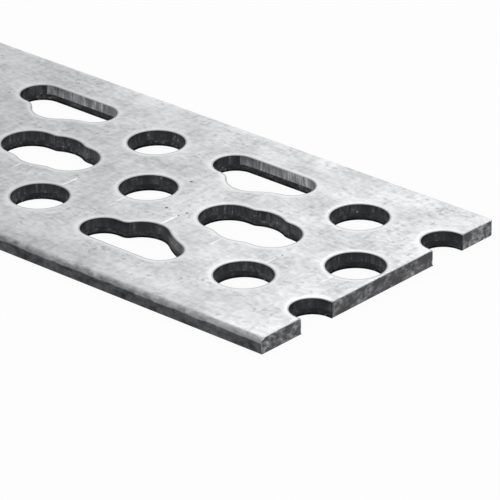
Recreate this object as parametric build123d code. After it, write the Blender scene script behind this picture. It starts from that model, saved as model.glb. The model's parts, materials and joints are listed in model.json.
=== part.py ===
from build123d import *
import math
import os

# A slotted flat bar: galvanised steel strip, punched in three rows and cut to length.
# The bar lies flat on z = 0, its length along X and its width along Y, centred on the origin.
# The +X end is the leading end: the punched pattern is counted from there.

# Strip, mm
LENGTH = 300.0
WIDTH = 50.8
THICKNESS = 2.5
TOP_EDGE_RADIUS = 0.9  # the long edges are rolled over on the upper side
BOTTOM_EDGE_RADIUS = 0.2
CROPPED_CORNER_RADIUS = 1.3  # the leading end's +Y corner, dragged round as the bar is cropped

# Punched pattern, mm
PITCH = 40.0  # from one opening to the next of its kind along a row
ROW_SPACING = 12.5  # from the centre row to each outer row
PATTERN_SHIFT = 0.4  # the rows sit this far to the +Y side of the strip's centre line
FIRST_CENTRE_HOLE = 5.1  # from the leading end to the first round hole of the centre row
STAGGER = 10.0  # the outer rows' round holes lie this much further along

# Round holes, all three rows, mm
HOLE_DIAMETER = 8.7

# Outer rows' slots: a long slot set outwards of the row, joined to a round hole on it, mm
OUTER_SLOT_LENGTH = 18.0
OUTER_SLOT_WIDTH = 6.6
OUTER_SLOT_OFFSET = 1.75

# Centre row's slots: a long slot with a larger round hole at its middle, mm
CENTRE_SLOT_LENGTH = 17.2
CENTRE_SLOT_WIDTH = 8.7
CENTRE_SLOT_HOLE = 10.5

# Rounded corners where a slot meets its round hole, mm: the leading end's corner first, then the other
LEFT_ROW_BLENDS = (9.0, 3.0)  # the +Y row, whose round holes open towards -Y
RIGHT_ROW_BLENDS = (16.0, 1.5)  # the -Y row, whose round holes open towards +Y
CENTRE_LEFT_BLENDS = (2.8, 1.2)  # the centre row, on its +Y side
CENTRE_RIGHT_BLENDS = (4.9, 4.9)  # the centre row, on its -Y side

PUNCH_OVERRUN = 1.0  # how far the punches pass both faces


def corner_hub(radius, half, straight, offset, side, blend):
    """The centre of a leading corner's arc, and the point of the slot's centre line that it faces.

    The arc touches the round hole at the origin and either the slot's straight edge or its round end.
    """
    edge = half + side * offset  # from the hole's centre to the slot's edge on this side
    run = math.sqrt((radius + blend) ** 2 - (edge + blend) ** 2)
    if run <= straight:
        return Vector(run, side * (edge + blend)), Vector(run, offset)
    end_centre = Vector(straight, offset)
    to_hole, to_end, apart = radius + blend, half + blend, end_centre.length
    along = (apart**2 + to_hole**2 - to_end**2) / (2 * apart)
    across = side * math.sqrt(to_hole**2 - along**2)
    direction = end_centre / apart
    return direction * along + Vector(-direction.Y, direction.X) * across, end_centre


def holed_slot(length, width, offset, hole_diameter, left_blends, right_blends):
    """A slot along X, set to one side of a round hole at the origin and joined to it by rounded corners.

    The blends are for the slot's +Y and -Y sides, each with the corner towards +X first.
    """
    radius, half = hole_diameter / 2, width / 2
    straight = (length - width) / 2  # where the slot's straight edges end
    outline = Circle(radius) + Pos(0, offset) * SlotOverall(length, width)
    for side, blends in ((1, left_blends), (-1, right_blends)):
        if half + side * offset >= radius:
            continue  # the hole doesn't reach past the slot here
        for end, blend in zip((1, -1), blends):
            hub, facing = corner_hub(radius, half, straight, offset, side, blend)
            hub.X, facing.X = end * hub.X, end * facing.X
            corner = make_face(Polyline(Vector(0, 0), hub, facing, close=True))
            outline += corner - Pos(hub) * Circle(blend)
    return outline


def stations(first, reach):
    """X of each opening of one kind, a pitch apart, that is cut wholly or partly in the strip.

    first is the distance from the leading end to one of them, and reach is half an opening's length.
    """
    before = math.ceil((first + reach) / PITCH) - 1  # openings of this kind ahead of the first
    start = first - before * PITCH
    count = math.ceil((LENGTH + reach - start) / PITCH)
    return [LENGTH / 2 - start - i * PITCH for i in range(count)]


def punched(outline, first, reach, row_y):
    """The punches for one kind of opening along one row."""
    depth = THICKNESS + 2 * PUNCH_OVERRUN
    punch = extrude(outline, depth)
    return [Pos(x, row_y, -PUNCH_OVERRUN) * punch for x in stations(first, reach)]


def strip():
    """The plain strip, with its long edges and its cropped corner rounded."""
    section = Plane.YZ * Pos(0, THICKNESS / 2) * Rectangle(WIDTH, THICKNESS)
    upper = section.vertices().group_by(Axis.Z)[-1]
    section = fillet(upper, TOP_EDGE_RADIUS)
    lower = section.vertices().group_by(Axis.Z)[0]
    section = fillet(lower, BOTTOM_EDGE_RADIUS)
    plan = Rectangle(LENGTH, WIDTH)
    cropped = plan.vertices().sort_by_distance(Vector(LENGTH / 2, WIDTH / 2))[0]
    plan = fillet(cropped, CROPPED_CORNER_RADIUS)
    return extrude(section, LENGTH / 2, both=True) & extrude(plan, THICKNESS)


def slotted_flat():
    """The strip with its three rows of round holes and slots."""
    round_hole = Circle(HOLE_DIAMETER / 2)
    centre_slot = holed_slot(CENTRE_SLOT_LENGTH, CENTRE_SLOT_WIDTH, 0, CENTRE_SLOT_HOLE,
                             CENTRE_LEFT_BLENDS, CENTRE_RIGHT_BLENDS)
    hole_reach = HOLE_DIAMETER / 2
    outer_reach = max(OUTER_SLOT_LENGTH, HOLE_DIAMETER) / 2
    centre_reach = max(CENTRE_SLOT_LENGTH, CENTRE_SLOT_HOLE) / 2

    first_outer_hole = FIRST_CENTRE_HOLE + STAGGER
    punches = punched(round_hole, FIRST_CENTRE_HOLE, hole_reach, PATTERN_SHIFT)
    punches += punched(centre_slot, FIRST_CENTRE_HOLE + PITCH / 2, centre_reach, PATTERN_SHIFT)
    for side, left_blends, right_blends in ((1, (), LEFT_ROW_BLENDS), (-1, RIGHT_ROW_BLENDS, ())):
        row_y = PATTERN_SHIFT + side * ROW_SPACING
        slot = holed_slot(OUTER_SLOT_LENGTH, OUTER_SLOT_WIDTH, side * OUTER_SLOT_OFFSET, HOLE_DIAMETER,
                          left_blends, right_blends)
        punches += punched(round_hole, first_outer_hole, hole_reach, row_y)
        punches += punched(slot, first_outer_hole + PITCH / 2, outer_reach, row_y)
    return strip() - punches


os.makedirs("parts", exist_ok=True)
bar = slotted_flat()
bar.label = "slotted_flat"
export_step(bar, "parts/slotted_flat.step")
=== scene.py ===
"""A slotted flat bar of galvanised steel: its punched and dressed mesh, its finishes and its studio.

The bar is modelled in millimetres, as it would be made: the openings are punched into a rolled strip,
the strip is scored and cut to length, and the result is brought down to metres at the very end.
"""

import json
import logging
import math
from collections.abc import Callable, Iterator
from dataclasses import dataclass, field
from enum import Enum

import bmesh
import bpy
from mathutils import Matrix, Vector

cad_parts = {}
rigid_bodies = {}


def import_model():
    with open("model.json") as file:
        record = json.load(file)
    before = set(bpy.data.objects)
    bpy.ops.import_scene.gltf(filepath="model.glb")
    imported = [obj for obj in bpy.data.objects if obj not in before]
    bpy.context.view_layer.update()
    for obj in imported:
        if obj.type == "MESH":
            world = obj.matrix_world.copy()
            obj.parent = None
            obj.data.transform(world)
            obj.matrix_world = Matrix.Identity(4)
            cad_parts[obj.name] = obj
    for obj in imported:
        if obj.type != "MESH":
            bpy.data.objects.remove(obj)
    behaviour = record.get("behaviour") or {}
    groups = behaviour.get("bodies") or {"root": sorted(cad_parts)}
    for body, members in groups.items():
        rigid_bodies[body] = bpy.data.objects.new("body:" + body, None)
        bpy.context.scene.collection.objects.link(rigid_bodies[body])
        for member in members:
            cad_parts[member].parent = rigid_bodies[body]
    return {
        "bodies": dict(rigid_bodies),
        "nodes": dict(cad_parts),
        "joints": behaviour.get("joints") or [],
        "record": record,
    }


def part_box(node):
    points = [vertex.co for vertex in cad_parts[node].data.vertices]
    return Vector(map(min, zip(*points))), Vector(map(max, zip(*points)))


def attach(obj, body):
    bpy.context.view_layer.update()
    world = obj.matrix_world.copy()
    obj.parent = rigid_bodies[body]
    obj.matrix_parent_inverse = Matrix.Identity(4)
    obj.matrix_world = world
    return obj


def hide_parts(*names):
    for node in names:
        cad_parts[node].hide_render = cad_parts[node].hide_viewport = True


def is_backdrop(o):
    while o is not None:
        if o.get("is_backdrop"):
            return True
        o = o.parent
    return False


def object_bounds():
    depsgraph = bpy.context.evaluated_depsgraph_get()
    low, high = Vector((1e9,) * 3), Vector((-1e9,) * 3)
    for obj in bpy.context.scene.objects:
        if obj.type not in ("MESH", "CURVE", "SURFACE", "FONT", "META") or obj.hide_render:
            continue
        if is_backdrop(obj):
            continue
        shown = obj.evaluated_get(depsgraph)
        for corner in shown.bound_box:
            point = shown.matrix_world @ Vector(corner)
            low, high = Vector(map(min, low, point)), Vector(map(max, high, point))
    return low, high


LOG = logging.getLogger("slotted_flat")

BODY = "root"
CAD_NODE = "slotted_flat"
MM = 0.001  # one millimetre in the frame's metres
TINY = 0.0005  # how near two places are taken as one, mm
LEVEL = 0.999  # a face whose normal's upward part is over this is level

Ring = tuple[float, float]  # distance outwards from an opening's edge, and height, mm


# ---------------------------------------------------------------- modelling by hand


def start_piece(name: str) -> bpy.types.Object:
    """Starts an empty mesh piece and opens it in edit mode.

    Args:
        name: What the piece is called.

    Returns:
        The new piece, active and open for editing.
    """
    bpy.ops.object.select_all(action="DESELECT")
    bpy.ops.mesh.primitive_plane_add(size=1.0, location=(0.0, 0.0, 0.0))
    piece = bpy.context.object
    piece.name = name
    bpy.ops.object.mode_set(mode="EDIT")
    bpy.ops.mesh.select_mode(type="EDGE")
    bpy.ops.mesh.delete(type="VERT")
    return piece


def select_only(*pieces: bpy.types.Object) -> None:
    """Selects these pieces alone, the last one active.

    Args:
        pieces: The pieces to select.
    """
    bpy.ops.object.select_all(action="DESELECT")
    for piece in pieces:
        piece.select_set(True)
        bpy.context.view_layer.objects.active = piece


class Element(Enum):
    """What a mesh is made of, and the name that its shape keeps each kind under."""

    VERT = "verts"
    EDGE = "edges"
    FACE = "faces"


def select(piece: bpy.types.Object, element: Element, wanted: Callable[..., bool]) -> None:
    """Selects some points, edges or faces of a piece that is open for editing.

    Args:
        piece: The piece.
        element: Which of the three.
        wanted: Says of one of them whether it is to be selected.
    """
    bpy.ops.mesh.select_mode(type=element.name)
    bpy.ops.mesh.select_all(action="DESELECT")
    shape = bmesh.from_edit_mesh(piece.data)
    for part in getattr(shape, element.value):
        if wanted(part):
            part.select_set(True)
    bmesh.update_edit_mesh(piece.data)


def at_height(edge: bmesh.types.BMEdge, *heights: float) -> bool:
    """Whether both ends of an edge lie at one of these heights."""
    return all(any(abs(end.co.z - z) < TINY for z in heights) for end in edge.verts)


class Pen:
    """Draws one closed outline in the piece that is open for editing, a stroke at a time."""

    def __init__(self, x: float, y: float, height: float) -> None:
        """Sets the pen down at a point.

        Args:
            x: The point's X, mm.
            y: Its Y, mm.
            height: Its height, which the whole outline keeps, mm.
        """
        self.place = Vector((x, y, height))
        bpy.ops.mesh.select_mode(type="VERT")
        bpy.ops.mesh.select_all(action="DESELECT")
        bpy.ops.mesh.primitive_plane_add(size=1.0, location=self.place)
        bpy.ops.mesh.merge(type="CENTER")

    def line_to(self, x: float, y: float) -> None:
        """Draws a straight stroke to a point.

        Args:
            x: The point's X, mm.
            y: Its Y, mm.
        """
        step = Vector((x, y, self.place.z)) - self.place
        bpy.ops.mesh.extrude_vertices_move(TRANSFORM_OT_translate={"value": step})
        self.place += step

    def arc_to(self, centre: Vector, end: Vector, steps: int, turn: int = 1) -> None:
        """Draws a round stroke to a point.

        Args:
            centre: The arc's centre, mm.
            end: The point that it ends on, as far from the centre as the pen is.
            steps: How many straight edges it is made of.
            turn: 1 to turn anticlockwise and -1 to turn clockwise.
        """
        from_hub, to_hub = self.place.xy - centre, end - centre
        # Blender's signed angle between two directions is clockwise from the first to the second
        angle = (-turn * from_hub.angle_signed(to_hub)) % math.tau
        # the operator also counts its angle clockwise
        bpy.ops.mesh.spin(steps=steps, angle=-turn * angle, center=(*centre, self.place.z), axis=(0, 0, 1),
                          use_auto_merge=False)
        self.place = Vector((*end, self.place.z))

    def close(self, piece: bpy.types.Object) -> None:
        """Joins the outline's last point to its first.

        Args:
            piece: The piece that it is drawn in.
        """
        height = self.place.z
        select(piece, Element.EDGE, lambda edge: at_height(edge, height))
        bpy.ops.mesh.remove_doubles(threshold=10 * TINY)


# ---------------------------------------------------------------- finishes


def linear(hex_colour: str) -> tuple[float, float, float, float]:
    """Turns an sRGB hex colour to linear red, green, blue and full alpha."""
    parts = (int(hex_colour[i:i + 2], 16) / 255 for i in (1, 3, 5))
    return (*(c / 12.92 if c <= 0.04045 else ((c + 0.055) / 1.055) ** 2.4 for c in parts), 1.0)


def add_node(tree: bpy.types.NodeTree, kind: str, inputs: dict | None = None, **settings) -> bpy.types.Node:
    """Adds a node to a tree, with its settings, its values and its links.

    Args:
        tree: The tree that it goes into.
        kind: The node's type, without the ShaderNode in front.
        inputs: What each input socket, by name or number, is set to or linked from.
        settings: The node's own settings.

    Returns:
        The new node.
    """
    node = tree.nodes.new("ShaderNode" + kind)
    for setting, value in settings.items():
        setattr(node, setting, value)
    for socket, value in (inputs or {}).items():
        if isinstance(value, bpy.types.NodeSocket):
            tree.links.new(value, node.inputs[socket])
        else:
            node.inputs[socket].default_value = value
    return node


@dataclass(frozen=True)
class Finish:
    """One finish of the bar's steel."""

    name: str

    def material(self) -> bpy.types.Material:
        """Makes the finish's material.

        Returns:
            The material, with its shader linked.
        """
        material = bpy.data.materials.new(self.name)
        material.use_nodes = True
        tree = material.node_tree
        tree.nodes.clear()
        place = add_node(tree, "TexCoord").outputs["Object"]
        shader = self.surface(tree, place)
        add_node(tree, "OutputMaterial", {"Surface": shader.outputs[0]})
        return material

    def surface(self, tree: bpy.types.NodeTree, place: bpy.types.NodeSocket) -> bpy.types.Node:
        """Builds the finish's shader; each finish has its own."""
        raise NotImplementedError


@dataclass(frozen=True)
class Pattern:
    """A noise of a real size, of which a middle range is stretched to 0 to 1."""

    sizes: tuple[float, float, float]  # of its blotches along X, Y and Z, mm
    low: float  # the noise value that becomes 0
    high: float  # the noise value that becomes 1
    detail: float = 2.0  # how many finer layers it has

    def lay(self, tree: bpy.types.NodeTree, place: bpy.types.NodeSocket) -> bpy.types.NodeSocket:
        """Lays the pattern over a surface.

        Args:
            tree: The material's tree.
            place: The Object coordinates.

        Returns:
            A socket from 0 to 1.
        """
        scaled = add_node(tree, "Mapping", {
            "Vector": place, "Scale": tuple(1 / (size * MM) for size in self.sizes)})
        grain = add_node(tree, "TexNoise", {
            "Vector": scaled.outputs[0], "Scale": 1.0, "Detail": self.detail})
        spread = add_node(tree, "MapRange", {
            "Value": grain.outputs[0], "From Min": self.low, "From Max": self.high})
        return spread.outputs[0]


def weighted_sum(tree: bpy.types.NodeTree,
                 *parts: tuple[bpy.types.NodeSocket, float]) -> bpy.types.NodeSocket:
    """Adds up masks, each times its weight.

    Args:
        tree: The material's tree.
        parts: Each mask and its weight.

    Returns:
        The sum's socket.
    """
    total = 0.0
    for socket, weight in parts:
        step = add_node(tree, "Math", {0: socket, 1: weight, 2: total}, operation="MULTIPLY_ADD")
        total = step.outputs[0]
    return total


@dataclass(frozen=True)
class ZincFace(Finish):
    """Hot-dip zinc on rolled strip steel, weathered and handled.

    To the eye it is pale and dull, with soft clouds and finer mottling, crowds of grey flecks, scuffs
    across the strip and a few dark pits. Round each opening, where the punch drew the face down, fewer of
    these marks are drawn, which is a painted highlight, and a thin grey ring right at the edge is painted
    shade on the rounded lip. Along the long edges the rolled band is grey, which is painted shade, and
    below that the slit side is dark, streaked bare steel.
    """

    width: float
    thickness: float
    pale: str = "#F0F1F2"
    cloud: str = "#B4B7B9"
    pit: str = "#4A4C4E"
    # the grey of the thin ring on each opening's lip, which is painted shade
    painted_lip_shade: str = "#A9ACAE"
    # the grey of the long edges' rolled band, which is painted shade
    painted_edge_shade: str = "#A4A6A8"
    slit: str = "#6A6B6D"
    slit_dark: str = "#303133"
    roughness: float = 0.38
    relief: float = 0.02  # height of the bumps in the zinc, mm

    # the zinc's own grain is finer than the mottling, which is drawn as coarse as it needs to show
    clouds: Pattern = Pattern((8.0, 6.0, 6.0), 0.34, 0.66, detail=5.0)
    mottling: Pattern = Pattern((1.2, 0.8, 0.8), 0.32, 0.7, detail=6.0)
    flecks: Pattern = Pattern((0.8, 0.65, 0.65), 0.56, 0.72, detail=3.0)
    scuffs: Pattern = Pattern((0.7, 6.0, 4.0), 0.5, 0.8, detail=3.0)
    crowds: Pattern = Pattern((5.0, 4.0, 4.0), 0.4, 0.62)
    borders: Pattern = Pattern((1.4, 0.7, 0.7), 0.3, 0.7, detail=4.0)

    crown_margin: float = 3.4  # the face's crown ends this far in from each long edge, mm
    painted_halo_depths: tuple[float, float] = (0.002, 0.025)  # how far down the painted highlight round the openings starts and is full, mm
    painted_lip_shade_depths: tuple[float, float] = (0.04, 0.055)  # the same, of the painted shade on the openings' lips
    painted_halo_strength: float = 0.6  # the share of the marks taken off round the openings, which paints the highlight there
    pit_spacing: float = 3.4  # mm
    pit_edge: float = 0.1  # of a pit, as a share of the spacing
    pit_core: float = 0.04  # where it is darkest, the same
    pit_rarity: float = 0.82  # the share of places that have no pit
    edge_shade_inset: float = 0.5  # how far in from the strip's edge the painted shade on the rolled band starts, mm
    edge_shade_fade: float = 0.5  # how wide its border is, mm
    edge_shade_wander: float = 0.25  # how far its border wanders, mm
    slit_side: float = 0.1  # how far in from the strip's edge the slit side reaches, mm
    slit_top: tuple[float, float] = (1.85, 1.7)  # where the slit side's dark steel starts and is full, mm
    slit_wander: float = 0.2  # mm

    def surface(self, tree: bpy.types.NodeTree, place: bpy.types.NodeSocket) -> bpy.types.Node:
        """Builds the zinc's shader.

        Args:
            tree: The material's tree.
            place: The Object coordinates.

        Returns:
            The shader.
        """
        clouds, mottling, flecks, scuffs, crowds = (
            pattern.lay(tree, place)
            for pattern in (self.clouds, self.mottling, self.flecks, self.scuffs, self.crowds))
        crowded = add_node(tree, "Math", {0: flecks, 1: crowds}, operation="MULTIPLY").outputs[0]
        marks = weighted_sum(tree, (clouds, 0.46), (mottling, 0.46), (crowded, 0.7), (scuffs, 0.34))
        # painted light round each opening: a painted highlight where the face is drawn down, painted shade
        # on the lip
        painted_halo, painted_lip_shade = self._masks_round_openings(tree, place)
        kept = add_node(tree, "Math", {0: painted_halo, 1: -self.painted_halo_strength, 2: 1.0},
                        operation="MULTIPLY_ADD").outputs[0]
        shade = add_node(tree, "Math", {0: marks, 1: kept}, operation="MULTIPLY").outputs[0]
        # the first mask is painted shade on the rolled long edges
        painted_edge_shade, slit = self._edge_masks(tree, place)
        worn = weighted_sum(tree, (mottling, 0.7), (clouds, 0.35))
        edge = add_node(tree, "Mix", {0: worn, 6: linear(self.painted_edge_shade), 7: linear(self.slit)},
                        data_type="RGBA").outputs[2]
        slit_steel = add_node(tree, "Mix", {0: worn, 6: linear(self.slit), 7: linear(self.slit_dark)},
                              data_type="RGBA").outputs[2]
        # each later coat lies over the earlier ones
        coats = ((shade, linear(self.cloud)), (painted_lip_shade, linear(self.painted_lip_shade)),
                 (self._pits(tree, place), linear(self.pit)), (painted_edge_shade, edge), (slit, slit_steel))
        colour = linear(self.pale)
        for share, coat in coats:
            colour = add_node(tree, "Mix", {0: share, 6: colour, 7: coat}, data_type="RGBA").outputs[2]
        rougher = weighted_sum(tree, (flecks, 0.1), (painted_edge_shade, 0.22), (slit, 0.1))
        dull = add_node(tree, "Math", {0: rougher, 1: self.roughness}, operation="ADD").outputs[0]
        height = weighted_sum(tree, (mottling, 0.5), (clouds, 1.0), (flecks, -0.3))
        bump = add_node(tree, "Bump", {"Height": height, "Distance": self.relief * MM, "Strength": 0.5})
        return add_node(tree, "BsdfPrincipled", {
            "Base Color": colour, "Metallic": 1.0, "Roughness": dull, "Normal": bump.outputs[0]})

    def _masks_round_openings(
            self, tree: bpy.types.NodeTree,
            place: bpy.types.NodeSocket) -> tuple[bpy.types.NodeSocket, bpy.types.NodeSocket]:
        """Masks what lies lower than the flat face, where the punch drew it down.

        Args:
            tree: The material's tree.
            place: The Object coordinates.

        Returns:
            The mask of the painted highlight round the openings and the mask of the painted shade on their
            lips.
        """
        split = add_node(tree, "SeparateXYZ", {0: place}).outputs
        across = add_node(tree, "Math", {0: split["Y"]}, operation="ABSOLUTE").outputs[0]
        inside = add_node(tree, "Math", {0: across, 1: (self.width / 2 - self.crown_margin) * MM},
                          operation="LESS_THAN").outputs[0]
        masks = []
        for start, full in (self.painted_halo_depths, self.painted_lip_shade_depths):
            drop = add_node(tree, "MapRange", {
                "Value": split["Z"], "From Min": (self.thickness - start) * MM,
                "From Max": (self.thickness - full) * MM}).outputs[0]
            mask = add_node(tree, "Math", {0: drop, 1: inside}, operation="MULTIPLY")
            masks.append(mask.outputs[0])
        return masks[0], masks[1]

    def _pits(self, tree: bpy.types.NodeTree, place: bpy.types.NodeSocket) -> bpy.types.NodeSocket:
        """Scatters small dark pits.

        Args:
            tree: The material's tree.
            place: The Object coordinates.

        Returns:
            The pits' mask.
        """
        cells = add_node(tree, "TexVoronoi", {"Vector": place, "Scale": 1 / (self.pit_spacing * MM)},
                         feature="F1")
        picked = add_node(tree, "SeparateColor", {0: cells.outputs["Color"]})
        rare = add_node(tree, "Math", {0: picked.outputs[0], 1: self.pit_rarity},
                        operation="GREATER_THAN")
        dot = add_node(tree, "MapRange", {
            "Value": cells.outputs["Distance"], "From Min": self.pit_edge, "From Max": self.pit_core})
        return add_node(tree, "Math", {0: rare.outputs[0], 1: dot.outputs[0]},
                        operation="MULTIPLY").outputs[0]

    def _edge_masks(self, tree: bpy.types.NodeTree,
                    place: bpy.types.NodeSocket) -> tuple[bpy.types.NodeSocket, bpy.types.NodeSocket]:
        """Masks both long edges, with uneven borders.

        Args:
            tree: The material's tree.
            place: The Object coordinates.

        Returns:
            The mask of the painted shade on the rolled band and the mask of the slit steel below it.
        """
        uneven = self.borders.lay(tree, place)
        split = add_node(tree, "SeparateXYZ", {0: place}).outputs
        across = add_node(tree, "Math", {0: split["Y"]}, operation="ABSOLUTE").outputs[0]
        wander = weighted_sum(tree, (uneven, self.edge_shade_wander * MM), (across, 1.0))
        start = (self.width / 2 - self.edge_shade_inset) * MM
        painted_edge_shade = add_node(tree, "MapRange", {
            "Value": wander, "From Min": start, "From Max": start + self.edge_shade_fade * MM}).outputs[0]
        rise = weighted_sum(tree, (uneven, self.slit_wander * MM), (split["Z"], 1.0))
        top, full = self.slit_top
        low = add_node(tree, "MapRange", {
            "Value": rise, "From Min": top * MM, "From Max": full * MM}).outputs[0]
        side = add_node(tree, "Math", {0: across, 1: (self.width / 2 - self.slit_side) * MM},
                        operation="GREATER_THAN").outputs[0]
        slit = add_node(tree, "Math", {0: low, 1: side}, operation="MULTIPLY").outputs[0]
        return painted_edge_shade, slit


@dataclass(frozen=True)
class CutSteel(Finish):
    """Bare low-carbon steel where the strip was punched through or sheared.

    To the eye it is dark and uneven, with lighter streaks along the cut and a few bright torn spots.
    """

    dark: str
    mid: str
    bright: str = "#9A9B9D"
    streak: tuple[float, float, float] = (0.4, 0.4, 3.0)  # the size of its streaks, mm
    roughness: float = 0.45
    patch_scale: float = 4.0  # how much larger the dark patches are than the streaks
    relief: float = 0.04  # height of the streaks, mm
    spots: Pattern = Pattern((0.45, 0.45, 0.45), 0.6, 0.72)

    def surface(self, tree: bpy.types.NodeTree, place: bpy.types.NodeSocket) -> bpy.types.Node:
        """Builds the cut face's shader.

        Args:
            tree: The material's tree.
            place: The Object coordinates.

        Returns:
            The shader.
        """
        patch_sizes = tuple(self.patch_scale * size for size in self.streak)
        patches = Pattern(patch_sizes, 0.4, 0.65, detail=3.0).lay(tree, place)
        streaks = Pattern(self.streak, 0.35, 0.7, detail=3.0).lay(tree, place)
        spots = self.spots.lay(tree, place)
        mixed = add_node(tree, "Math", {0: patches, 1: streaks}, operation="MULTIPLY").outputs[0]
        torn = add_node(tree, "Math", {0: spots, 1: mixed}, operation="MULTIPLY").outputs[0]
        colour = linear(self.dark)
        for share, tone in ((mixed, self.mid), (torn, self.bright)):
            colour = add_node(tree, "Mix", {0: share, 6: colour, 7: linear(tone)},
                              data_type="RGBA").outputs[2]
        bump = add_node(tree, "Bump", {"Height": streaks, "Distance": self.relief * MM, "Strength": 0.6})
        return add_node(tree, "BsdfPrincipled", {
            "Base Color": colour, "Metallic": 1.0, "Roughness": self.roughness,
            "Normal": bump.outputs[0]})


class Zone(Enum):
    """The kinds of surface on the finished bar, by material slot."""

    FACE = 0
    SHEARED_WALL = 1
    TORN_WALL = 2
    # painted shade at the foot of each wall
    BURR = 3
    CROPPED_END = 4
    # painted light on the +Y row's outermost walls
    BURNISHED_WALL = 5


# ---------------------------------------------------------------- the punched openings


@dataclass(frozen=True)
class PunchedRim:
    """How a punched opening's edge runs from the flat face, down its wall, to the underside, in mm."""

    thickness: float
    dish_width: float = 1.6  # the punch draws the face down this far from the opening's edge
    dish_depth: float = 0.065
    dish_rings: int = 5
    dish_crowding: float = 1.4  # how much closer its rings stand towards the opening's edge
    dish_curve: float = 2.2  # how much steeper it is there
    lip_radius: float = 0.07
    lip_rings: int = 3
    break_height: float = 0.95  # below this the wall is torn and not sheared
    break_gap: float = 0.05  # the torn wall stands this far back
    burr: tuple[Ring, ...] = ((0.02, 0.2), (-0.12, 0.02), (-0.1, -0.05), (0.12, 0.0))  # curled inwards

    def rings(self) -> list[Ring]:
        """Works out the rim's rings, from the outermost on the face to the last on the underside.

        Returns:
            Each ring's distance outwards from the opening's edge, and its height.
        """
        rings = []
        for i in range(self.dish_rings + 1):
            part = (1 - i / self.dish_rings) ** self.dish_crowding
            out = self.lip_radius + (self.dish_width - self.lip_radius) * part
            rings.append((out, self.thickness - self._drop(out)))
        centre_out, centre_z = self.lip_radius, rings[-1][1] - self.lip_radius
        for i in range(1, self.lip_rings + 1):
            turn = math.pi / 2 * i / self.lip_rings
            rings.append((centre_out - self.lip_radius * math.sin(turn),
                          centre_z + self.lip_radius * math.cos(turn)))
        rings.append((0.0, self.break_height))
        rings.append((self.break_gap, self.break_height - 2 * self.break_gap))
        rings.extend(self.burr)
        return rings

    def _drop(self, out: float) -> float:
        """How far the face is drawn down at a distance from the opening's edge."""
        return self.dish_depth * (1 - out / self.dish_width) ** self.dish_curve


@dataclass(frozen=True)
class RoundHole:
    """A round hole, in mm."""

    radius: float
    sides: int = 56

    @property
    def reach(self) -> float:
        """Half the opening's length."""
        return self.radius

    def draw(self, piece: bpy.types.Object, out: float, height: float) -> None:
        """Draws the hole's outline, a distance outwards from its edge, at a height."""
        bpy.ops.mesh.select_all(action="DESELECT")
        bpy.ops.mesh.primitive_circle_add(vertices=self.sides, radius=self.radius + out,
                                          location=(0.0, 0.0, height))


@dataclass(frozen=True)
class SlotCorner:
    """A rounded corner between a slot and its round hole, as the opening's outline passes it, in mm."""

    hub: Vector
    on_hole: Vector  # where the corner's arc leaves the hole
    on_slot: Vector  # where it meets the slot
    round_end: Vector  # where the slot's round end stops, on this corner's side


@dataclass(frozen=True)
class HoledSlot:
    """A slot joined to a round hole near its middle, with rounded corners between them, in mm."""

    length: float
    width: float
    offset: float  # of the slot's middle line from the hole's centre, towards +Y
    hole_radius: float
    left_blends: tuple[float, float] | None  # the +Y side's corners: towards +X, then towards -X
    right_blends: tuple[float, float] | None  # the -Y side's; a side that the hole doesn't pass has none
    end_steps: int = 18
    hole_steps: int = 16
    blend_steps: int = 7
    least_blend: float = 0.3

    @property
    def reach(self) -> float:
        """Half the opening's length."""
        return self.length / 2

    @property
    def straight(self) -> float:
        """Where the slot's straight sides end, from its middle."""
        return (self.length - self.width) / 2

    def draw(self, piece: bpy.types.Object, out: float, height: float) -> None:
        """Draws the slot's outline.

        Args:
            piece: The piece that it is drawn in, open for editing.
            out: How far outwards from the opening's edge it runs, mm.
            height: The height that it is drawn at, mm.
        """
        half = self.width / 2 + out
        sides = ((1, self.left_blends), (-1, self.right_blends))
        corners = {
            side: [self._corner(side, end, blend, out) for end, blend in zip((1, -1), blends)][::side]
            for side, blends in sides if blends}
        square = Vector((self.straight, self.offset - half))
        start = corners[-1][-1].round_end if -1 in corners else square
        pen = Pen(*start, height)
        # the +Y side is drawn towards -X, and the -Y side back again
        for side, _ in sides:
            centre = Vector((side * self.straight, self.offset))
            if side not in corners:
                pen.arc_to(centre, centre + Vector((0.0, side * half)), self.end_steps)
                pen.line_to(-centre.x, self.offset + side * half)
                continue
            first, second = corners[side]
            pen.arc_to(centre, first.round_end, self.end_steps)
            if first.on_slot != first.round_end:
                pen.line_to(*first.on_slot)
            pen.arc_to(first.hub, first.on_hole, self.blend_steps, turn=-1)
            pen.arc_to(Vector((0.0, 0.0)), second.on_hole, self.hole_steps)
            pen.arc_to(second.hub, second.on_slot, self.blend_steps, turn=-1)
            if second.on_slot != second.round_end:
                pen.line_to(*second.round_end)
        pen.close(piece)

    def _corner(self, side: int, end: int, blend: float, out: float) -> SlotCorner:
        """Works out a rounded corner between the slot and the hole.

        Args:
            side: 1 for the +Y side and -1 for the other.
            end: 1 for the corner towards +X and -1 for the other.
            blend: The corner's radius at the opening's edge.
            out: The distance outwards from the opening's edge.

        Returns:
            The corner, on the outline that runs that far outwards.
        """
        hole, half = self.hole_radius + out, self.width / 2 + out
        radius = max(blend - out, self.least_blend)
        level = half + side * self.offset
        run = math.sqrt((hole + radius) ** 2 - (level + radius) ** 2)
        if run <= self.straight:
            hub = Vector((end * run, side * (level + radius)))
            on_slot = Vector((hub.x, side * level))
            return SlotCorner(hub, hub * hole / (hole + radius), on_slot,
                              Vector((end * self.straight, side * level)))
        # a wide corner runs past the straight side, so it ends on the slot's round end
        centre = Vector((end * self.straight, self.offset))
        along = centre.normalized()
        part = (centre.length_squared + (hole + radius) ** 2 - (half + radius) ** 2) / (2 * centre.length)
        rise = math.sqrt((hole + radius) ** 2 - part**2)
        hub = along * part + side * end * rise * Vector((-along.y, along.x))
        on_slot = centre + (hub - centre) * half / (half + radius)
        return SlotCorner(hub, hub * hole / (hole + radius), on_slot, on_slot)


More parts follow.
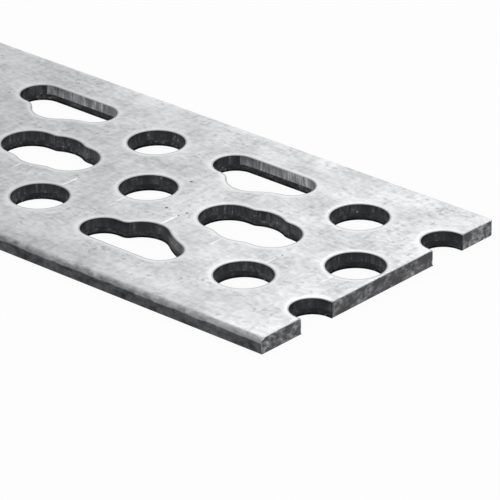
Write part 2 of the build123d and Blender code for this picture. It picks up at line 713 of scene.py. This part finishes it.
@dataclass
class PunchedOpening:
    """One kind of punched opening: its rim and wall, modelled once and copied along its row."""

    name: str
    shape: RoundHole | HoledSlot
    rim: PunchedRim

    def build(self) -> bpy.types.Object:
        """Models the rim and wall of one opening, at the origin.

        Returns:
            The piece, an open band from the face to the underside.
        """
        piece = start_piece(self.name)
        rings = self.rim.rings()
        for out, height in rings:
            self.shape.draw(piece, out, height)
        for (_, upper), (_, lower) in zip(rings, rings[1:]):
            select(piece, Element.EDGE, lambda edge: at_height(edge, upper) or at_height(edge, lower))
            bpy.ops.mesh.bridge_edge_loops()
        bpy.ops.object.mode_set(mode="OBJECT")
        return piece


def copies_at(piece: bpy.types.Object, places: list[tuple[float, float]]) -> list[bpy.types.Object]:
    """Copies a piece to several places, each copy with its own mesh, and leaves the first where it was.

    Args:
        piece: The piece to copy.
        places: The (x, y) of each copy, mm.

    Returns:
        The copies.
    """
    copies = []
    for x, y in places:
        select_only(piece)
        bpy.ops.object.duplicate(linked=False)
        bpy.ops.transform.translate(value=(x, y, 0.0))
        bpy.ops.object.transform_apply(location=True, rotation=False, scale=False)
        copies.append(bpy.context.object)
    return copies


# ---------------------------------------------------------------- the bar


@dataclass
class SlottedFlat:
    """The whole bar, in mm: a rolled strip, punched in three rows, scored and cut to length."""

    length: float
    width: float
    thickness: float
    pitch: float
    row_spacing: float
    hole_radius: float
    outer_hole_x: float  # a round hole of the outer rows
    centre_hole_x: float  # a round hole of the centre row
    row_shift: float  # the centre row's place across the strip

    outer_slot: tuple[float, float, float] = (18.0, 6.6, 1.75)  # length, width, offset outwards
    centre_slot: tuple[float, float, float] = (17.2, 8.7, 10.5)  # length, width, hole diameter
    left_row_blends: tuple[float, float] = (9.0, 3.0)  # corners towards +X and towards -X
    right_row_blends: tuple[float, float] = (16.0, 1.5)
    centre_left_blends: tuple[float, float] = (2.8, 1.2)
    centre_right_blends: tuple[float, float] = (4.9, 4.9)
    run_out: float = 20.0  # the strip is punched this far past both cuts
    top_edge_radius: float = 0.9
    top_edge_steps: int = 7
    bottom_edge_radius: float = 0.2
    bottom_edge_steps: int = 3
    cropped_corner_radius: float = 1.3  # in plan, at the leading end's +Y corner
    cropped_corner_steps: int = 14
    # the face is very slightly crowned: the width and rise of each step in from the long edges
    crown_steps: tuple[tuple[float, float], ...] = ((0.6, 0.035), (0.8, 0.02), (1.0, 0.008))
    crop_roll: float = 0.2  # radius of the end faces' upper edges, drawn down as the bar was cropped
    crop_roll_steps: int = 5
    score_spacing: float = 10.0
    score_ends: tuple[float, float] = (-8.2, -4.3)  # across the strip, from the centre row
    score_width: float = 0.22
    score_depth: float = 0.04
    score_pit: float = 0.2  # radius of the dent at each score mark's +Y end
    cut_burr: float = 0.1  # how far the cropped faces may stand off the two cuts
    face_margin: float = 0.4  # faces this near the top are part of the zinc face
    side_margin: float = 2.0  # and so are those this near the long sides
    burnished: float = 0.6  # how far in from the +Y row's outermost walls these walls are painted light
    smooth_angle: float = 32.0  # edges that turn less are shaded smooth, degrees
    piece: bpy.types.Object = field(init=False)

    @classmethod
    def from_frame(cls, frame: dict) -> "SlottedFlat":
        """Takes the bar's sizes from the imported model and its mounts.


        Returns:
            The bar, not yet built.
        """
        low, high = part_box(CAD_NODE)
        mounts = {mount["name"]: mount for mount in frame["record"]["mounts"]}
        outer, centre = mounts["leading_end_bolts"], mounts["middle_bolts"]
        sizes = outer["dims"]
        return cls(
            length=(high[0] - low[0]) / MM,
            width=(high[1] - low[1]) / MM,
            thickness=(high[2] - low[2]) / MM,
            pitch=sizes["spacing_x_mm"],
            row_spacing=sizes["spacing_y_mm"] / 2,
            hole_radius=sizes["hole_r_mm"],
            outer_hole_x=outer["pos_m"][0] / MM + sizes["spacing_x_mm"] / 2,
            centre_hole_x=centre["pos_m"][0] / MM + centre["dims"]["spacing_x_mm"] / 2,
            row_shift=centre["pos_m"][1] / MM,
        )

    @property
    def centre_leading_x(self) -> float:
        """The X of the centre row's round hole nearest the leading end."""
        return max(self._stations(self.centre_hole_x, 0.0))

    def build(self) -> bpy.types.Object:
        """Models the bar.

        Returns:
            The finished piece, in metres, at its place in the frame.
        """
        strip = self._rolled_strip()
        punched = self._punched_openings()
        select_only(*punched, strip)
        bpy.ops.object.join()
        self.piece = strip
        self._skin()
        self._cut_ends()
        self._roll_ends()
        self._cut_away(*self._score_marks(), self._corner_waste())
        self._to_metres()
        LOG.info("%s: %d faces", self.piece.name, len(self.piece.data.polygons))
        return self.piece

    def _rolled_strip(self) -> bpy.types.Object:
        """Models the strip with its rounded long edges.

        Returns:
            The strip, open on its face and its underside.
        """
        rise = sum(up for _, up in self.crown_steps)
        height = self.thickness - rise
        bpy.ops.object.select_all(action="DESELECT")
        bpy.ops.mesh.primitive_cube_add(
            size=1.0, location=(0.0, 0.0, height / 2),
            scale=(self.length + 2 * self.run_out, self.width, height))
        strip = bpy.context.object
        strip.name = "galvanised_slotted_flat"
        bpy.ops.object.transform_apply(location=True, rotation=False, scale=True)
        bpy.ops.object.mode_set(mode="EDIT")
        for level, radius, steps in ((height, self.top_edge_radius, self.top_edge_steps),
                                     (0.0, self.bottom_edge_radius, self.bottom_edge_steps)):
            select(strip, Element.EDGE, lambda edge: at_height(edge, level) and self._runs_along(edge))
            bpy.ops.mesh.bevel(offset=radius, offset_type="OFFSET", segments=steps, profile=0.5,
                               affect="EDGES", clamp_overlap=False)
        select(strip, Element.FACE, lambda face: face.normal.z > LEVEL)
        for wide, up in self.crown_steps:
            bpy.ops.mesh.inset(thickness=wide, depth=up)
        select(strip, Element.FACE, lambda face: abs(face.normal.z) > LEVEL
               and face.calc_area() > self.length * self.width / 2)
        bpy.ops.mesh.delete(type="ONLY_FACE")
        bpy.ops.object.mode_set(mode="OBJECT")
        return strip

    @staticmethod
    def _runs_along(edge: bmesh.types.BMEdge) -> bool:
        """Whether an edge runs along the strip."""
        start, end = (vert.co for vert in edge.verts)
        return abs(start.x - end.x) > 1.0 and abs(start.y - end.y) < TINY

    def _stations(self, one: float, reach: float) -> Iterator[float]:
        """Gives the X of each opening of a row whose rim touches the strip.

        Args:
            one: The X of any opening of the row.
            reach: Half the opening's length, with its rim.

        Yields:
            Each X, from the leading end on.
        """
        far = self.length / 2 + reach
        count = math.floor((far - one) / self.pitch)
        x = one + count * self.pitch
        while x > -far:
            yield x
            x -= self.pitch

    def _punched_openings(self) -> list[bpy.types.Object]:
        """Models each kind of opening once and copies it along its row.

        Returns:
            The copies' rims and walls.
        """
        rim = PunchedRim(self.thickness)
        length, width, offset = self.outer_slot
        centre_length, centre_width, centre_hole = self.centre_slot
        hole = RoundHole(self.hole_radius)
        left = HoledSlot(length, width, offset, self.hole_radius, None, self.left_row_blends)
        right = HoledSlot(length, width, -offset, self.hole_radius, self.right_row_blends, None)
        middle = HoledSlot(centre_length, centre_width, 0.0, centre_hole / 2,
                           self.centre_left_blends, self.centre_right_blends)
        half_pitch = self.pitch / 2
        right_row, left_row = self.row_shift - self.row_spacing, self.row_shift + self.row_spacing

        pieces = []
        round_hole = PunchedOpening("round_hole", hole, rim).build()
        left_slot = PunchedOpening("left_slot", left, rim).build()
        right_slot = PunchedOpening("right_slot", right, rim).build()
        centre_slot = PunchedOpening("centre_slot", middle, rim).build()
        patterns = (
            (round_hole, self.centre_hole_x, hole.reach, self.row_shift),
            (centre_slot, self.centre_hole_x - half_pitch, middle.reach, self.row_shift),
            (round_hole, self.outer_hole_x, hole.reach, right_row),
            (round_hole, self.outer_hole_x, hole.reach, left_row),
            (right_slot, self.outer_hole_x - half_pitch, right.reach, right_row),
            (left_slot, self.outer_hole_x - half_pitch, left.reach, left_row),
        )
        for opening, one, reach, row in patterns:
            places = [(x, row) for x in self._stations(one, reach + rim.dish_width)]
            pieces += copies_at(opening, places)
            LOG.info("%s: %d along the row at y = %.1f mm", opening.name, len(places), row)
        select_only(round_hole, left_slot, right_slot, centre_slot)
        bpy.ops.object.delete()
        return pieces

    def _skin(self) -> None:
        """Fills the face and the underside between the strip's edges and the openings' rims."""
        bpy.ops.object.mode_set(mode="EDIT")
        for level in (self.thickness, 0.0):
            select(self.piece, Element.EDGE, lambda edge: edge.is_boundary and at_height(edge, level))
            bpy.ops.mesh.fill(use_beauty=True)
        bpy.ops.mesh.select_all(action="SELECT")
        bpy.ops.mesh.remove_doubles(threshold=TINY)
        bpy.ops.mesh.normals_make_consistent(inside=False)
        bpy.ops.object.mode_set(mode="OBJECT")

    def _cut_ends(self) -> None:
        """Cuts the punched strip to length, square, and closes the two cuts."""
        bpy.ops.object.mode_set(mode="EDIT")
        for end in (1, -1):
            bpy.ops.mesh.select_all(action="SELECT")
            bpy.ops.mesh.bisect(plane_co=(end * self.length / 2, 0.0, 0.0), plane_no=(end, 0.0, 0.0),
                                use_fill=True, clear_outer=True, threshold=TINY)
        bpy.ops.mesh.select_all(action="SELECT")
        bpy.ops.mesh.normals_make_consistent(inside=False)
        bpy.ops.object.mode_set(mode="OBJECT")

    def _roll_ends(self) -> None:
        """Draws the end faces' upper edges down, as the crop's blade did."""
        radius, steps = self.crop_roll, self.crop_roll_steps
        bpy.ops.object.mode_set(mode="EDIT")
        for end in (1, -1):
            for i in range(1, steps + 1):
                turn = math.pi / 2 * i / steps
                x = end * (self.length / 2 - radius * (1 - math.sin(turn)))
                if i < steps:
                    bpy.ops.mesh.select_all(action="SELECT")
                    bpy.ops.mesh.bisect(plane_co=(x, 0.0, 0.0), plane_no=(end, 0.0, 0.0), threshold=TINY)
                select(self.piece, Element.VERT, lambda vert: abs(vert.co.x - x) < TINY
                       and vert.co.z > self.thickness - 2 * radius)
                bpy.ops.transform.translate(value=(0.0, 0.0, radius * (math.cos(turn) - 1)))
        bpy.ops.object.mode_set(mode="OBJECT")

    def _score_marks(self) -> Iterator[bpy.types.Object]:
        """Models what cuts the score marks across the web between the centre row and the -Y row.

        Yields:
            The grooves, then the dents at their +Y ends.
        """
        near, far = self.score_ends
        bpy.ops.object.select_all(action="DESELECT")
        bpy.ops.mesh.primitive_cylinder_add(vertices=4, radius=self.score_width / 2, depth=far - near,
                                            location=(0.0, (near - far) / 2, self.thickness),
                                            rotation=(math.pi / 2, 0.0, 0.0))
        groove = bpy.context.object
        groove.name = "score_grooves"
        groove.scale.y = 2 * self.score_depth / self.score_width
        yield self._at_each_score(groove)
        bpy.ops.mesh.primitive_uv_sphere_add(segments=12, ring_count=8, radius=self.score_pit,
                                             location=(0.0, 0.0, self.thickness + self.score_pit / 3))
        dent = bpy.context.object
        dent.name = "score_dents"
        yield self._at_each_score(dent)

    def _at_each_score(self, tool: bpy.types.Object) -> bpy.types.Object:
        """Copies a tool to each score mark.

        Args:
            tool: The tool, at its place for a mark that ends at the origin.

        Returns:
            All of the copies, as one piece.
        """
        select_only(tool)
        bpy.ops.object.transform_apply(location=True, rotation=True, scale=True)
        count = math.floor(self.length / self.score_spacing)
        y = self.row_shift + self.score_ends[1]
        marks = copies_at(tool, [(self.centre_leading_x - i * self.score_spacing, y) for i in range(count)])
        select_only(tool)
        bpy.ops.object.delete()
        select_only(*marks)
        bpy.ops.object.join()
        return bpy.context.object

    def _corner_waste(self) -> bpy.types.Object:
        """Models what the crop took off the leading end's +Y corner.

        Returns:
            The waste, a closed piece that stands past both faces.
        """
        radius = self.cropped_corner_radius
        x, y = self.length / 2, self.width / 2
        past = radius / 2
        waste = start_piece("corner_waste")
        pen = Pen(x + past, y - radius, -past)
        pen.line_to(x, y - radius)
        pen.arc_to(Vector((x - radius, y - radius)), Vector((x - radius, y)),
                   self.cropped_corner_steps)
        pen.line_to(x - radius, y + past)
        pen.line_to(x + past, y + past)
        pen.line_to(x + past, y - radius)
        pen.close(waste)
        bpy.ops.mesh.select_all(action="SELECT")
        bpy.ops.mesh.edge_face_add()
        bpy.ops.mesh.extrude_region_move(
            TRANSFORM_OT_translate={"value": (0.0, 0.0, self.thickness + 2 * past)})
        bpy.ops.mesh.select_all(action="SELECT")
        bpy.ops.mesh.normals_make_consistent(inside=False)
        bpy.ops.object.mode_set(mode="OBJECT")
        return waste

    def _cut_away(self, *cutters: bpy.types.Object) -> None:
        """Takes the cutters' shapes out of the bar, and then deletes them.

        Args:
            cutters: The closed pieces to cut with.
        """
        for cutter in cutters:
            select_only(self.piece)
            cut = self.piece.modifiers.new(cutter.name, "BOOLEAN")
            cut.operation = "DIFFERENCE"
            cut.solver = "EXACT"
            cut.object = cutter
            bpy.ops.object.modifier_apply(modifier=cut.name)
            select_only(cutter)
            bpy.ops.object.delete()

    def dress(self) -> None:
        """Gives each face of the finished bar the finish that its place calls for."""
        finishes = {
            Zone.FACE: ZincFace("hot_dip_zinc", width=self.width, thickness=self.thickness),
            # the punch sheared the upper wall smooth, with fine upright streaks; it is bare steel, painted
            # darker still as painted shade inside the openings
            Zone.SHEARED_WALL: CutSteel("punch_sheared_steel", dark="#333436", mid="#525355",
                                        bright="#98999B"),
            # below that the steel tore: rough and blotched, bare steel painted darker still as painted
            # shade inside the openings
            Zone.TORN_WALL: CutSteel("punch_torn_steel", dark="#303133", mid="#5A5B5D",
                                     bright="#98999B", streak=(0.7, 0.7, 0.5), roughness=0.6),
            # the burr curls under at the foot of each wall: painted nearly black, which is painted shade
            Zone.BURR: CutSteel("burred_steel", dark="#1C1C1E", mid="#3E3F41",
                                streak=(0.5, 0.5, 0.5), roughness=0.6),
            # the cropped ends are mid grey and mottled, with no clear streaks
            Zone.CROPPED_END: CutSteel("cropped_steel", dark="#4E4E50", mid="#A0A1A3",
                                       bright="#CCCDCF", streak=(0.6, 0.9, 0.6), roughness=0.55),
            # one wall of each slot in the +Y row is painted light, for the light that it catches, with fine
            # upright streaks
            Zone.BURNISHED_WALL: CutSteel("punch_burnished_steel", dark="#68696B", mid="#C0C1C3",
                                          bright="#DCDDDF", streak=(0.35, 0.35, 2.0)),
        }
        mesh = self.piece.data
        for zone in Zone:
            mesh.materials.append(finishes[zone].material())
        for face in mesh.polygons:
            face.material_index = self._zone(face).value

    def _zone(self, face: bpy.types.MeshPolygon) -> Zone:
        """Says which kind of surface a face of the finished bar belongs to.

        Args:
            face: The face, in metres.

        Returns:
            Its kind.
        """
        x, y, z = face.center / MM
        upward = abs(face.normal.z)  # 1 on a level face and 0 on a wall
        nearly_level, sloping = upward > 0.98, upward >= 0.5
        by_side = abs(y) > self.width / 2 - self.side_margin
        near_top = z > self.thickness - self.face_margin
        if nearly_level or sloping and (near_top or by_side):
            return Zone.FACE
        faces_end = abs(face.normal.x) > 0.9
        if faces_end and abs(x) > self.length / 2 - self.cut_burr:
            return Zone.CROPPED_END
        if by_side:
            return Zone.FACE
        # the burr at the foot of the walls is painted shade
        if z < PunchedRim.burr[0][1]:
            return Zone.BURR
        if z < PunchedRim.break_height:
            return Zone.TORN_WALL
        slot_length, slot_width, offset = self.outer_slot
        outer_side = self.row_shift + self.row_spacing + offset + slot_width / 2
        notched = abs(x) > self.length / 2 - slot_length / 2
        # the +Y row's outermost walls are painted light
        burnished = y > outer_side - self.burnished and not notched
        return Zone.BURNISHED_WALL if burnished else Zone.SHEARED_WALL

    def _to_metres(self) -> None:
        """Brings the bar to the frame's metres and smooths its round faces."""
        select_only(self.piece)
        bpy.ops.transform.resize(value=(MM, MM, MM), center_override=(0.0, 0.0, 0.0))
        bpy.ops.object.transform_apply(location=True, rotation=True, scale=True)
        bpy.ops.object.shade_smooth_by_angle(angle=math.radians(self.smooth_angle))
        weigh = self.piece.modifiers.new("face_weight", "WEIGHTED_NORMAL")
        weigh.keep_sharp = True
        bpy.ops.object.modifier_apply(modifier=weigh.name)


# ---------------------------------------------------------------- the studio


@dataclass(frozen=True)
class StudioCamera:
    """A long lens that looks along the bar from near its leading end."""

    azimuth: float = 42.07  # degrees
    elevation: float = 25.79
    roll: float = -0.57
    distance: float = 0.62507  # m
    lens: float = 316.86  # mm
    from_end: float = 19.68  # the aim's distance from the leading end, mm
    across: float = -5.68  # the aim's place across the strip, mm

    def place(self, bar: SlottedFlat) -> None:
        """Sets the camera up and makes it the scene's.

        Args:
            bar: The bar that it looks at.
        """
        turn, rise, tilt = map(math.radians, (self.azimuth, self.elevation, self.roll))
        back = Vector((math.sin(turn) * math.cos(rise), -math.cos(turn) * math.cos(rise), math.sin(rise)))
        right = Vector((math.cos(turn), math.sin(turn), 0.0))
        up = back.cross(right)
        tilted_right = math.cos(tilt) * right + math.sin(tilt) * up
        tilted_up = math.cos(tilt) * up - math.sin(tilt) * right
        aim = Vector((bar.length / 2 - self.from_end, self.across, bar.thickness)) * MM
        bpy.ops.object.camera_add()
        camera = bpy.context.object
        camera.name = "camera"
        camera.data.lens = self.lens
        stance = Matrix((tilted_right, tilted_up, back)).transposed().to_4x4()
        stance.translation = aim + back * self.distance
        camera.matrix_world = stance
        bpy.context.scene.camera = camera


@dataclass(frozen=True)
class Softbox:
    """A square studio lamp."""

    name: str
    azimuth: float  # degrees round from +X towards +Y, as seen from the bar's leading end
    elevation: float
    watts: float
    distance: float = 0.5  # m
    side: float = 0.2  # m
    along: float = -0.04  # the aim's place along the bar, from its leading end, m

    def place(self, bar: SlottedFlat) -> None:
        """Hangs the lamp, facing its aim.

        Args:
            bar: The bar that it lights.
        """
        turn, rise = math.radians(self.azimuth), math.radians(self.elevation)
        away = Vector((math.cos(turn) * math.cos(rise), math.sin(turn) * math.cos(rise), math.sin(rise)))
        aim = Vector((bar.length / 2 * MM + self.along, 0.0, 0.0))
        bpy.ops.object.light_add(type="AREA", location=aim + away * self.distance,
                                 rotation=away.to_track_quat("Z", "Y").to_euler())
        lamp = bpy.context.object
        lamp.name = self.name
        lamp.data.shape = "SQUARE"
        lamp.data.size = self.side
        lamp.data.energy = self.watts


@dataclass(frozen=True)
class Studio:
    """A pale floor with an upturned rim, a plain white world and soft lamps."""

    floor_size: float = 6.0  # m
    floor_rim: float = 0.4  # height of the rim that hides the floor's far edge, m
    floor_gap: float = 0.06  # below the bar, mm; its burrs stand on the floor
    floor_paint: str = "#E6E6E6"
    floor_glow: float = 0.95  # the share of the floor's white that no shadow takes away
    world_level: float = 0.7
    lamps: tuple[Softbox, ...] = (
        Softbox("side_softbox", azimuth=112.0, elevation=30.0, watts=0.13),
        Softbox("front_softbox", azimuth=48.0, elevation=9.0, watts=0.25),
        Softbox("far_softbox", azimuth=240.0, elevation=30.0, watts=0.3, side=0.4, along=-0.09),
        # small close ones, which brighten the leading end
        Softbox("end_softbox", azimuth=132.0, elevation=50.0, watts=0.013, distance=0.16, side=0.05,
                along=-0.02),
        Softbox("low_softbox", azimuth=132.0, elevation=12.0, watts=0.007, distance=0.25, side=0.08,
                along=-0.02),
    )

    def build(self, bar: SlottedFlat) -> None:
        """Lays the floor, hangs the lamps and sets the world and the view.

        Args:
            bar: The bar that stands on the floor.
        """
        self._floor()
        self._world()
        for lamp in self.lamps:
            lamp.place(bar)
        bpy.context.scene.view_settings.view_transform = "Standard"

    def _floor(self) -> None:
        """Lays a pale floor that shows nearly white and keeps a soft shadow."""
        bpy.ops.object.select_all(action="DESELECT")
        bpy.ops.mesh.primitive_plane_add(size=self.floor_size, location=(0.0, 0.0, -self.floor_gap * MM))
        floor = bpy.context.object
        floor.name = "floor"
        bpy.ops.object.transform_apply(location=True, rotation=False, scale=False)
        bpy.ops.object.mode_set(mode="EDIT")
        bpy.ops.mesh.select_mode(type="EDGE")
        bpy.ops.mesh.select_all(action="SELECT")
        bpy.ops.mesh.extrude_edges_move(TRANSFORM_OT_translate={"value": (0.0, 0.0, self.floor_rim)})
        bpy.ops.object.mode_set(mode="OBJECT")
        paint = bpy.data.materials.new("matt_floor_paint")
        paint.use_nodes = True
        tree = paint.node_tree
        tree.nodes.clear()
        path = add_node(tree, "LightPath").outputs
        mirrored = add_node(tree, "Math", {0: path["Is Glossy Ray"], 1: path["Is Transmission Ray"]},
                            operation="MAXIMUM").outputs[0]
        seen = add_node(tree, "Math", {0: path["Is Camera Ray"], 1: mirrored},
                        operation="MAXIMUM").outputs[0]
        share = add_node(tree, "Math", {0: seen, 1: self.floor_glow}, operation="MULTIPLY").outputs[0]
        lit = add_node(tree, "BsdfDiffuse", {"Color": linear(self.floor_paint)}).outputs[0]
        glow = add_node(tree, "Emission", {"Strength": 1.0}).outputs[0]
        mixed = add_node(tree, "MixShader", {0: share, 1: lit, 2: glow}).outputs[0]
        add_node(tree, "OutputMaterial", {"Surface": mixed})
        floor.data.materials.append(paint)
        floor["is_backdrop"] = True

    def _world(self) -> None:
        """Sets a plain white world, which lights the bar alike from all sides."""
        world = bpy.data.worlds.new("studio_world")
        bpy.context.scene.world = world
        world.use_nodes = True
        tree = world.node_tree
        tree.nodes.clear()
        white = (1.0, 1.0, 1.0, 1.0)
        sky = add_node(tree, "Background", {"Color": white, "Strength": self.world_level}).outputs[0]
        add_node(tree, "OutputWorld", {"Surface": sky})


def main() -> list[list[float]]:
    """Builds the bar, its finishes and the studio.

    Returns:
        The CAD model's box, as two plain corners.
    """
    logging.basicConfig(level=logging.INFO, format="%(name)s: %(message)s")
    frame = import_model()
    cad_box = [list(map(float, corner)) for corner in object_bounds()]
    bar = SlottedFlat.from_frame(frame)
    piece = bar.build()
    bar.dress()
    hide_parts(CAD_NODE)
    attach(piece, BODY)
    Studio().build(bar)
    StudioCamera().place(bar)
    return cad_box


if __name__ == "__main__":
    model_box = main()
